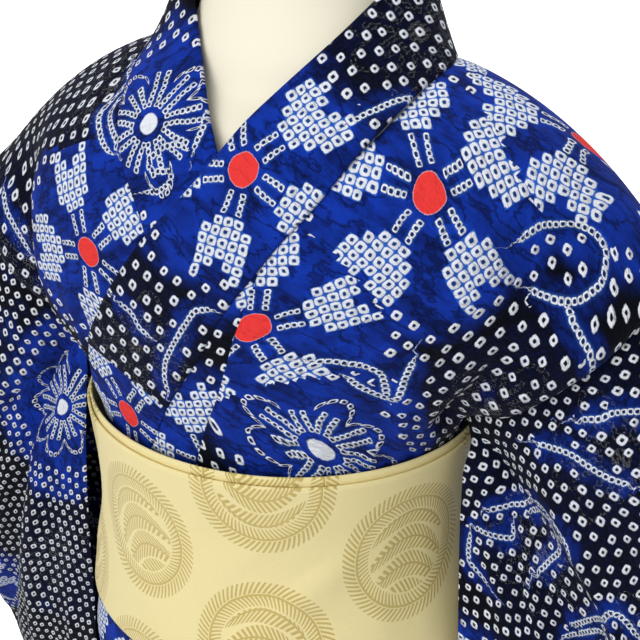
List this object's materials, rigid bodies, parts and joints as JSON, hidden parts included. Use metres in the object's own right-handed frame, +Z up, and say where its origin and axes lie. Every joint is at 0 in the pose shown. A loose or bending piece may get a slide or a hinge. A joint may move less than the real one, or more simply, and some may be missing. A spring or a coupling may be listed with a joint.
{
  "type": "yukata robe on a dress form",
  "caption": "Shibori cotton yukata worn left over right with hanging sleeves and a wound woven belt, on a limbless dress form with a pole and a round base.",
  "frame": {"origin": "centre of the stand base's flat underside, on the floor", "axes": "+Z up, the wearer faces -Y, and the wearer's left is +X"},
  "size_m": [0.94, 0.34, 1.44],
  "materials": {
    "indigo_cotton": "tie-dyed cotton, matte",
    "obi_cloth": "woven figured cloth, slight sheen",
    "form_surface": "smooth satin",
    "pole_steel": "brushed",
    "base_paint": "satin paint"
  },
  "bodies": {
    "root": {"body_left": "indigo_cotton", "body_right": "indigo_cotton", "overlap_left": "indigo_cotton", "overlap_right": "indigo_cotton", "over_collar": "indigo_cotton", "collar_left_end": "indigo_cotton", "collar_right_end": "indigo_cotton", "sleeve_left": "indigo_cotton", "sleeve_right": "indigo_cotton", "skirt_back_left": "indigo_cotton", "skirt_back_right": "indigo_cotton", "skirt_front_left": "indigo_cotton", "skirt_front_right": "indigo_cotton", "skirt_overlap_left": "indigo_cotton", "skirt_overlap_right": "indigo_cotton", "waist_fold": "indigo_cotton", "obi_inner_wrap": "obi_cloth", "obi_outer_wrap": "obi_cloth", "obi_knot_under_leaf": "obi_cloth", "obi_knot_upper_leaf": "obi_cloth", "obi_knot_band": "obi_cloth", "dress_form": "form_surface", "stand_pole": "pole_steel", "stand_base": "base_paint"}
  },
  "joints": []
}
